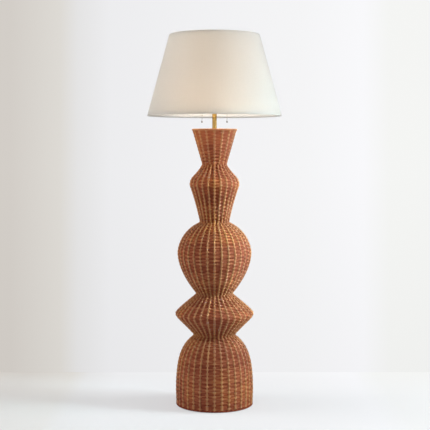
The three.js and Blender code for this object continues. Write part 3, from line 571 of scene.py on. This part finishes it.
for index, section in enumerate(sections):
    rng = np.random.default_rng(weave["seed"] + index)
    strands = 1 if section["stakes"] % 2 else 2
    for strand in range(strands):
        for woven in weavers(index, strand, strands, rng):
            settle(woven, "lamp_body", "rattan", section["node"])
            print(woven.name, 2 * len(woven.data.polygons), "triangles")
    settle(stakeRods(index, rng), "lamp_body", "rattan", section["node"])
print("woven sections ready")

# Borders at foot and rim: three canes twisted round a ring. A cane's centre circles the ring's own line once
# per twist, and the canes are a third of a turn apart.
# Foot border darker, painted shade at the floor; rim border lighter, painted light on its top
borders = [
    {"name": "footBorder", "node": "foot_border", "radius": 159.1, "low": 1.5, "twists": 50, "crest": 0.0,
     "tones": (0, 0.3, 0.6)},
    {"name": "rimBorder", "node": "rim_border", "radius": 94.4, "low": 1135.0, "twists": 30, "crest": 0.6,
     "tones": (0.2, 0.5, 0.8)},
]
borderCane = {"width": 9.0, "height": 8.0, "radius": 2.35, "stepsPerTwist": 12, "sides": 8}


def twistedBorder(border):
    canes = len(border["tones"])
    steps = border["twists"] * borderCane["stepsPerTwist"]
    turn = evenAngles(steps)
    twist = border["twists"] * turn + evenAngles(canes)[:, None]
    thick = borderCane["radius"]
    radius = border["radius"] - borderCane["width"] / 2 + (borderCane["width"] / 2 - thick) * np.cos(twist)
    height = border["low"] + borderCane["height"] / 2 + (borderCane["height"] / 2 - thick) * np.sin(twist)
    points, outward = roundZ(radius, height, turn), roundZ(np.cos(twist), np.sin(twist), turn)
    grid = tubes(points, outward, thick, thick, borderCane["sides"], wrapped=True) * mm
    spans = (2 * math.pi * border["radius"] * mm, 2 * math.pi * thick * mm)
    values = {"crest": border["crest"], "tone": np.array(border["tones"]).reshape(-1, 1, 1)}
    return gridMesh(border["name"], grid, spans, wrapAlong=True, values=values)


for border in borders:
    settle(twistedBorder(border), "lamp_body", "rattan", border["node"])
print("borders ready")

# Turned pieces, brass unless a slot is named. A profile lists radius and height, and the pipe fits the hole.
hole = 5.2
pipeBore, pipeRadius = 3.2, 4.9
alongX = [[0, 0, 1], [0, 1, 0], [-1, 0, 0]]
alongY = [[1, 0, 0], [0, 0, 1], [0, -1, 0]]
arm = (0, 0, 1288)  # the cluster's middle, where both arms start


# Builds a turned piece of the lamp's body as its entry says, with its side before its name and its node
def settleTurned(name, look, side="", turn=np.eye(3), move=(0, 0, 0)):
    turn, move = look.get("turn", turn), look.get("move", move)
    piece = turned(side + name, look["profile"], look["sides"], look["bevel"], turn, move)
    settle(piece, "lamp_body", look.get("slot", "brass"), side + look["node"])


footAndNeck = {
    "feltPad": {"node": "felt_pad", "slot": "felt", "sides": 96, "bevel": 0.6,
                "profile": ring(0, 146.1, 0, 3)},
    "baseWeight": {"node": "base_weight", "slot": "iron", "sides": 96, "bevel": 0.6, "profile": [
        (hole, 12.3), (15, 12.3), (15, 3.3), (148.1, 3.3), (148.1, 17.3), (146.1, 19.3), (hole, 19.3)]},
    "cordBushing": {"node": "cord_bushing", "slot": "nylon", "sides": 48, "bevel": 0.5, "profile": [
        (3.6, 141.1), (5.5, 141.1), (5.5, 161.6), (8.5, 161.6), (8.5, 162.7), (7.4, 163.8), (3.6, 163.8)],
        "turn": alongY, "move": (0, 0, 42)},
    "topCap": {"node": "top_cap", "slot": "bronze", "sides": 96, "bevel": 0.8,
               "profile": ring(hole, 77.9, 1128.5, 1132.5)},
    "neckSeat": {"node": "neck_seat", "sides": 64, "bevel": 0.4, "profile": [
        (hole, 1132.8), (14, 1132.8), (14, 1134), (12.4, 1135.8), (hole, 1135.8)]},
    "neckTube": {"node": "neck_tube", "sides": 64, "bevel": 0.3,
                 "profile": ring(8.3, 9.5, 1136.1, 1263.7)},
    "neckCollar": {"node": "neck_collar", "sides": 64, "bevel": 0.5, "profile": [
        (9.8, 1255.7), (11.4, 1255.7), (13, 1257.3), (13, 1263.7), (9.8, 1263.7)]},
    "clusterBody": {"node": "cluster_body", "sides": 64, "bevel": 1.2, "profile": [
        (hole, 1264), (12, 1264), (17, 1269), (17, 1307), (12, 1312), (hole, 1312)]},
    "clusterBosses": {"node": "cluster_body", "sides": 48, "bevel": 0.8,
                      "profile": ring(hole, 10.5, -25, 25), "turn": alongX, "move": arm},
}
for name, look in footAndNeck.items():
    settleTurned(name, look)
print("foot and neck ready")

# Sockets, bulbs and chains, one set to each side. Pieces along the arm are turned about Z and laid over, so
# their heights count from the lamp's axis, and the left set is the right one turned half round.
socketParts = {
    "ArmNipple": {"node": "_arm_nipple", "sides": 32, "bevel": 0.3,
                  "profile": ring(pipeBore, pipeRadius, 12, 32.3)},
    "SocketCap": {"node": "_socket_cap", "sides": 64, "bevel": 0.3, "profile": [
        (hole, 25.3), (9, 25.3), (9, 31.1), (11, 32.3), (14.7, 33.7), (17.2, 36.6), (18, 39.3), (18, 45.3),
        (16.8, 45.3), (16.8, 39.3), (15.8, 37.2), (13.5, 34.9), (10, 33.6), (hole, 32.5)]},
    "SocketShell": {"node": "_socket_shell", "sides": 64, "bevel": 0.3, "profile": [
        (15.6, 40.3), (16.5, 40.3), (16.5, 49), (16.9, 50), (16.9, 51), (16.5, 52), (16.5, 75.5),
        (16.9, 76.5), (16.9, 77.5), (16.5, 78.5), (16.5, 80.3), (15.6, 80.3)]},
    "SocketInsert": {"node": "_socket_interior", "slot": "phenolic", "sides": 48, "bevel": 0.3, "profile": [
        (0, 40.3), (15.3, 40.3), (15.3, 78.3), (13.7, 78.3), (13.7, 57.3), (0, 57.3)]},
}
chainGuide = {"node": "_chain_guide", "sides": 32, "bevel": 0.3, "profile": [
    (2.2, -25.8), (4.6, -25.8), (3.4, -23.6), (3, -21), (3, -18), (4.6, -18), (4.6, -16.8), (3, -16.8),
    (3, -15.6), (2.2, -15.6)]}
bulb = {"tip": [(4.4, 57.6), (5, 59.2), (5.6, 59.8), (12.2, 62)],
        "rim": [(12.9, 80), (12.9, 81), (12.7, 82.1)],
        "baseRadius": 13.1, "threadStart": 62.6, "threadEnd": 78, "threadPitch": 3.6, "threadDepth": 0.8,
        "threadFade": 2, "threadSteps": 44, "baseSides": 40, "glassStart": 82.4, "neckRadius": 13,
        "flare": (0.4, 12), "shoulder": 15, "meetAngle": 48, "centre": 137.4, "radius": 30, "neckSteps": 12,
        "ballSteps": 22, "glassSides": 48, "baseMap": (0.025, 0.08), "baseSharp": 60}
chain = {"reach": 52, "top": 1283.4, "pitch": 4.8, "count": 22, "bead": 1.6, "beadAngles": (20, 160),
         "beadSteps": 7, "link": 0.55, "linkGap": 0.05, "sides": 12}
knob = {"sides": 32, "profile": [
    *arc(0, 1172, 3.5, 2, 150, 16), (1.7, 1176.2), (1.7, 1177.3), (axisRadius, 1177.5)]}


# Screw base: the radius dips by a cosine of how far a point is along the thread, less its share of a turn
def screwBase(name, turn, move):
    heights = np.linspace(bulb["threadStart"], bulb["threadEnd"], bulb["threadSteps"])
    thread = np.stack([np.full(len(heights), bulb["baseRadius"]), heights], axis=1)
    radius, height = np.concatenate([bulb["tip"], thread, bulb["rim"]]).T[:, :, None]
    angle = evenAngles(bulb["baseSides"])
    fadeIn = np.clip((height - bulb["threadStart"]) / bulb["threadFade"], 0, 1)
    fadeOut = np.clip((bulb["threadEnd"] - height) / bulb["threadFade"], 0, 1)
    dip = (1 - np.cos(2 * math.pi * height / bulb["threadPitch"] - angle)) / 2
    radius = radius - bulb["threadDepth"] * fadeIn * fadeOut * dip
    grid = roundZ(radius, height, angle)
    return gridMesh(name, placed(grid, turn, move), bulb["baseMap"], capped=True, hardAngle=bulb["baseSharp"])


# Glass: a flared neck, a cubic Bezier, that runs into a ball
def bulbGlass(name, turn, move):
    angle = math.radians(bulb["meetAngle"])
    tangent = np.array([math.cos(angle), math.sin(angle)])
    meet = np.array([bulb["radius"] * tangent[1], bulb["centre"] - bulb["radius"] * tangent[0]])
    start = np.array([bulb["neckRadius"], bulb["glassStart"]])
    end = meet - bulb["shoulder"] * tangent
    neck = bezier(start, start + bulb["flare"], end, meet, bulb["neckSteps"])[:-1]
    ball = arc(0, bulb["centre"], bulb["radius"], bulb["meetAngle"], 180, bulb["ballSteps"])
    return turned(name, [*neck, *ball], bulb["glassSides"], turn=turn, move=move)


# Ball chain: one turned outline, with an arc for each bead between short links
def ballChain(name, move):
    low = chain["top"] - chain["pitch"] * chain["count"]
    profile = [(axisRadius, low)]
    for bead in range(chain["count"]):
        middle = low + (bead + 0.5) * chain["pitch"]
        profile.append((chain["link"], low + bead * chain["pitch"] + chain["linkGap"]))
        profile += arc(0, middle, chain["bead"], *chain["beadAngles"], chain["beadSteps"])
    profile += [(chain["link"], chain["top"] - chain["linkGap"]), (axisRadius, chain["top"])]
    return turned(name, profile, chain["sides"], move=move)


for side, sign in (("left", -1), ("right", 1)):
    lay = np.diag([sign, sign, 1]) @ np.array(alongX)
    hang = (sign * chain["reach"], 0, 0)
    for name, look in socketParts.items():
        settleTurned(name, look, side, lay, arm)
    settle(screwBase(side + "BulbBase", lay, arm), side + "_bulb", "nickel", side + "_bulb_base")
    settle(bulbGlass(side + "BulbGlass", lay, arm), side + "_bulb", "frosted_glass", side + "_bulb_glass")
    settleTurned("ChainGuide", chainGuide, side, move=np.add(hang, arm))
    settle(ballChain(side + "PullChain", hang), side + "_pull", "nickel", side + "_pull_chain")
    chainKnob = turned(side + "ChainKnob", knob["profile"], knob["sides"], move=hang)
    settle(chainKnob, side + "_pull", "steel", side + "_chain_knob", dullNickel)
print("sockets ready")

# Riser, seat and finial
riserParts = {
    "riserRod": {"node": "riser_rod", "sides": 48, "bevel": 0.3,
                 "profile": ring(pipeBore, pipeRadius, 1299, 1504.4)},
    "riserSeat": {"node": "riser_seat", "sides": 64, "bevel": 0.4, "profile": [
        (hole, 1494.7), (8, 1494.7), (8, 1500), (9.4, 1502.6), (12.4, 1504.3), (14, 1505.2), (14, 1507.7),
        (3.4, 1507.7), (3.4, 1504.7), (hole, 1504.7)]},
}
for name, look in riserParts.items():
    settleTurned(name, look)
finial = {"sides": 48, "profile": [
    (axisRadius, 1521.8), (3.4, 1521.8), (3.4, 1510.8), (6.6, 1510.8), (6.6, 1512), (4.6, 1513.2),
    (4.2, 1514.6), *arc(0, 1522.4, 7.4, 38, 179, 20)]}
settle(turned("finialBall", finial["profile"], finial["sides"]), "finial", "brass", "finial")

# Shade: linen over a liner, on two wire rings and a spider with three arms
shade = {
    "low": 1196.0, "high": 1534.5, "lowRadius": 279.4, "highRadius": 187.9, "sides": 192,
    "cloth": 0.6, "hem": 14, "hemSlack": 1.5, "hemLean": 1.0, "hemBend": 8.4, "hemTurn": 18, "turnSteps": 9,
    "wallSteps": 26, "seamWidth": 12, "seamEdge": 2, "seamDepth": 1,
    "liner": [(276.4, 1199.6), (277.2, 1199.6), (187.5, 1531), (186.7, 1531)], "linerBevel": 0.2,
    "wire": 1.6, "wireSteps": 12, "wireInset": 4.0, "lowRing": 1199.2, "highRing": 1531.3,
}
spider = {
    "hub": (ring(3.4, 16, 1508, 1510.5), 64, 0.6), "armRadius": 2.0, "armSides": 12,
    "armHeight": 1510.0, "armEnd": 1529.4, "armPlaces": (8, 60, 110),
    "beforeBend": 6, "bend": 14, "bendSteps": 10, "turns": (90, 210, 330), "armMap": (0.2, 0.012),
}


# The shade's outer radius at a height: the line between its two rims
def shadeRadius(height):
    slope = (shade["highRadius"] - shade["lowRadius"]) / (shade["high"] - shade["low"])
    return shade["lowRadius"] + slope * (np.asarray(height, float) - shade["low"])


# The cloth's section: up the outside, over each ring in a half round, and a short way down the inside. Each
# point has its depth under the outside, and its height.
def clothSection():
    low, high, hem, bend = shade["low"], shade["high"], shade["hem"], shade["hemBend"]
    inside = 2 * shade["wire"] + 2 * shade["cloth"] + shade["hemSlack"]
    lean = inside - shade["hemLean"]
    half = inside / 2
    angle = np.linspace(math.pi / 2, -math.pi / 2, shade["turnSteps"])
    turnLow = np.stack([half + half * np.sin(angle), low + half - half * np.cos(angle)], axis=1)
    turnHigh = np.stack([half - half * np.sin(angle), high - half + half * np.cos(angle)], axis=1)
    wall = [(0.0, height) for height in np.linspace(low + half, high - half, shade["wallSteps"])[1:-1]]
    return np.array([(lean, low + hem), (inside, low + bend), *turnLow, *wall, *turnHigh,
                     (inside, high - bend), (lean, high - hem)])


# The cloth as a thin closed shell: its outer skin is the section, its inner skin the section moved in by the
# cloth's thickness across it, both turned about Z. The seam at the back lies one cloth proud.
def shadeCloth():
    section = clothSection()
    tangent = np.gradient(section, axis=0)
    tangent /= np.linalg.norm(tangent, axis=1, keepdims=True)
    inner = section + shade["cloth"] * np.stack([tangent[:, 1], -tangent[:, 0]], axis=1)
    depth, height = np.concatenate([section, inner[::-1]]).T[:, :, None]
    angle = evenAngles(shade["sides"])
    fromBack = np.abs((angle - math.pi / 2 + math.pi) % (2 * math.pi) - math.pi)
    radius = shadeRadius(height) - depth
    seam = np.clip((shade["seamWidth"] - fromBack * radius) / shade["seamEdge"], 0, 1)
    radius = radius + seam * shade["cloth"] * (depth < shade["seamDepth"])
    grid = roundZ(radius, height, angle)
    spans = (2 * (shade["high"] - shade["low"]) * mm, 2 * math.pi * shade["lowRadius"] * mm)
    return gridMesh("shadeLinen", grid[None] * mm, spans, wrapAlong=True)


# The middle of a ring's wire, which lies inside the cloth
def ringMiddle(height):
    return float(shadeRadius(height + shade["wire"])) - shade["wireInset"]


def wireRing(name, height):
    profile = arc(ringMiddle(height), height, shade["wire"], 0, 360, shade["wireSteps"] + 1)[:-1]
    return turned(name, profile, shade["sides"])


# Spider arms: straight out from the hub, then a quarter turn up to the top ring
def spiderArms():
    reach, bend = ringMiddle(shade["highRing"]), spider["bend"]
    angle = np.radians(np.linspace(0, 90, spider["bendSteps"]))
    flat = [*spider["armPlaces"], reach - bend - spider["beforeBend"]]
    out = np.concatenate([flat, reach - bend * (1 - np.sin(angle)), [reach]])
    rise = spider["armHeight"] + bend * (1 - np.cos(angle))
    height = np.concatenate([np.full(len(flat), spider["armHeight"]), rise, [spider["armEnd"]]])
    turn = np.radians(spider["turns"])[:, None]
    points = roundZ(out, height, turn)
    sideways = np.broadcast_to(roundZ(1, 0, turn + math.pi / 2), points.shape)
    grid = tubes(points, sideways, spider["armRadius"], spider["armRadius"], spider["armSides"]) * mm
    return gridMesh("spiderArms", grid, spider["armMap"], capped=True, hardAngle=sharpAngle)


cloth = settle(shadeCloth(), "shade", "linen", "shade_cover")
liner = turned("shadeLiner", shade["liner"], shade["sides"], shade["linerBevel"])
settle(liner, "shade", "shade_liner", "shade_liner")
settle(wireRing("shadeTopRing", shade["highRing"]), "shade", "steel", "shade_top_ring")
settle(wireRing("shadeBottomRing", shade["lowRing"]), "shade", "steel", "shade_bottom_ring")
settle(spiderArms(), "shade", "steel", "shade_spider")
settle(turned("spiderHub", *spider["hub"]), "shade", "steel", "shade_spider")
print("shade ready")

# CAD nodes that stay as they are, by finish
keptNodes = {
    "steel": ["base_lock_washer", "base_lock_nut", "base_top_nut", "threaded_pipe", "wire_frame",
              "finial_stud"],
    "nylon": ["cord_bushing_nut"],
}
for slot, nodes in keptNodes.items():
    for node in nodes:
        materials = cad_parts[node].data.materials
        materials.clear()
        materials.append(finishes[slot])

# Stage: a pale floor that runs into the background's tone at its far edge. Both take their tone from one ramp
# across the width at that edge, painted light that is darker and warmer on the left and lighter on the right,
# and the floor's own light lifts the shadow.
stage = {
    "reach": 6, "edgeAt": 0.615, "drop": 0.0003, "spreadNear": 1.1,
    "tones": [(0.06, (0.65, 0.615, 0.575)), (0.17, (0.725, 0.7, 0.66)), (0.21, (0.78, 0.775, 0.775)),
              (0.28, (0.845, 0.845, 0.86)), (0.5, (0.885, 0.885, 0.9)), (0.7, (0.91, 0.91, 0.92)),
              (0.84, (0.945, 0.945, 0.965)), (0.9, (0.91, 0.915, 0.9))],
    "tonesFrom": -1.1, "tonesTo": 1.05, "floorLook": {"Base Color": (0.85, 0.85, 0.855, 1), "Roughness": 0.9},
    "lift": 0.5, "liftFrom": 0.1, "lowTone": [(0.0, (0.955, 0.955, 0.955)), (0.8, (1, 1, 1))], "lowTop": 1.2,
    "mirrored": (0.9, 0.9, 0.905, 1), "skyColour": (0.97, 0.98, 1, 1), "skyStrength": 0.2,
}


def toneAcross(material, across):
    share = addRange(material, across, stage["tonesFrom"], stage["tonesTo"], 0, 1)
    return addRamp(material, share, stage["tones"])


def floorMaterial():
    material, shader, places = newMaterial("paleFloor", **stage["floorLook"])
    apart = addNode(material, "ShaderNodeSeparateXYZ", {0: places["Object"]}).outputs
    tone = toneAcross(material, addMath(material, "MULTIPLY", apart["X"], stage["spreadNear"]))
    glow = addNode(material, "ShaderNodeEmission", {"Color": tone, "Strength": 1.0})
    fade = addRange(material, apart["Y"], stage["liftFrom"], stage["edgeAt"], stage["lift"], 1)
    seen = addNode(material, "ShaderNodeLightPath").outputs["Is Camera Ray"]
    mixSurface(material, addMath(material, "MULTIPLY", fade, seen), shader, glow)
    return material


wide, back, low = stage["reach"], stage["edgeAt"], -stage["drop"]
corners = [(-wide, -wide, low), (wide, -wide, low), (wide, back, low), (-wide, back, low)]
floorMesh = bpy.data.meshes.new("paleFloor")
floorMesh.from_pydata(corners, [], [(0, 1, 2, 3)])
floorMesh.materials.append(floorMaterial())
floor = addObject("paleFloor", floorMesh)

# World: soft light all round. The camera sees the background's painted tones by direction, as they would lie
# on a wall at the floor's far edge, with painted shade low on that wall, and gloss and glass see a pale room.
world = bpy.data.worlds.new("studio")
world.use_nodes = True
bpy.context.scene.world = world
light = world.node_tree.nodes["Background"]
light.inputs["Color"].default_value = stage["skyColour"]
light.inputs["Strength"].default_value = stage["skyStrength"]
generated = addNode(world, "ShaderNodeTexCoord").outputs["Generated"]
direction = addNode(world, "ShaderNodeSeparateXYZ", {0: generated}).outputs
wallAway = photoCamera["distance"] + stage["edgeAt"]
across, climb = (addMath(world, "MULTIPLY", addMath(world, "DIVIDE", direction[way], direction["Y"]),
                         wallAway) for way in "XZ")
lowShare = addRange(world, climb, -photoCamera["height"], stage["lowTop"] - photoCamera["height"], 0, 1)
wallTone = addTint(world, toneAcross(world, across), lowShare, stage["lowTone"])
ray = addNode(world, "ShaderNodeLightPath").outputs
seen = addMix(world, ray["Is Camera Ray"], stage["mirrored"], wallTone)
glossOrGlass = addMath(world, "MAXIMUM", ray["Is Glossy Ray"], ray["Is Transmission Ray"])
anySeen = addMath(world, "MAXIMUM", ray["Is Camera Ray"], glossOrGlass)
background = addNode(world, "ShaderNodeBackground", {"Color": seen, "Strength": 1.0})
mixSurface(world, anySeen, light, background, "World Output")

# Lamps: a large key from the right with a narrow one for the body, a fill from the left and a weak one from
# high in front, a narrow warm one for the shade, and three inside it for the daylight through the cloth
lamps = [
    {"name": "keySide", "place": (3.1, -0.3, 2.2), "aim": (0, 0, 0.8), "size": (1.7, 1.7), "power": 120,
     "colour": (0.92, 0.985, 1.02), "glossy": True},
    {"name": "bodySide", "place": (2.8, -0.6, 1.5), "aim": (0, 0, 0.7), "size": (0.6, 0.6), "power": 3.6,
     "colour": (0.7, 1, 1.05), "spread": 0.45, "glossy": True},
    {"name": "fillLeft", "place": (-3.0, 0.0, 1.8), "aim": (0, 0, 0.8), "size": (2.2, 2.2), "power": 62,
     "colour": (0.99, 1, 0.99)},
    {"name": "frontHigh", "place": (-0.5, -2.2, 4.2), "aim": (0, 0, 0.8), "size": (1.8, 1.8), "power": 22,
     "colour": (0.96, 1, 1.02)},
    {"name": "shadeFront", "place": (-0.6, -3.2, 2.0), "aim": (0, 0, 1.38), "size": (0.5, 0.5), "power": 0.75,
     "colour": (1, 0.8, 0.6), "spread": 0.35},
    {"name": "throughShade", "place": (0.02, -0.045, 1.37), "aim": (-0.04, -0.3, 1.35), "size": (0.22, 0.31),
     "power": 0.8, "colour": (1, 0.8, 0.62)},
    {"name": "throughHem", "place": (0, -0.13, 1.22), "aim": (-0.03, -0.3, 1.215), "size": (0.26, 0.04),
     "power": 0.7, "colour": (1, 0.82, 0.64)},
    {"name": "underShade", "place": (0, 0, 1.34), "aim": (0, 0.15, 1.1), "size": (0.15, 0.15), "power": 1.95,
     "colour": (1, 0.96, 0.93)},
]
for lamp in lamps:
    data = bpy.data.lights.new(lamp["name"], "AREA")
    data.shape = "RECTANGLE"
    data.spread = lamp.get("spread", math.pi)
    data.size, data.size_y = lamp["size"]
    data.energy = lamp["power"]
    data.color = lamp["colour"]
    made = addObject(lamp["name"], data)
    made.visible_camera = False
    made.visible_glossy = lamp.get("glossy", False)
    aim = np.array(lamp["aim"]) - np.array(lamp["place"])
    made.location = lamp["place"]
    tilt = math.atan2(math.hypot(aim[0], aim[1]), -aim[2])
    made.rotation_euler = (tilt, 0, math.atan2(aim[1], aim[0]) - math.pi / 2)
print("stage ready")
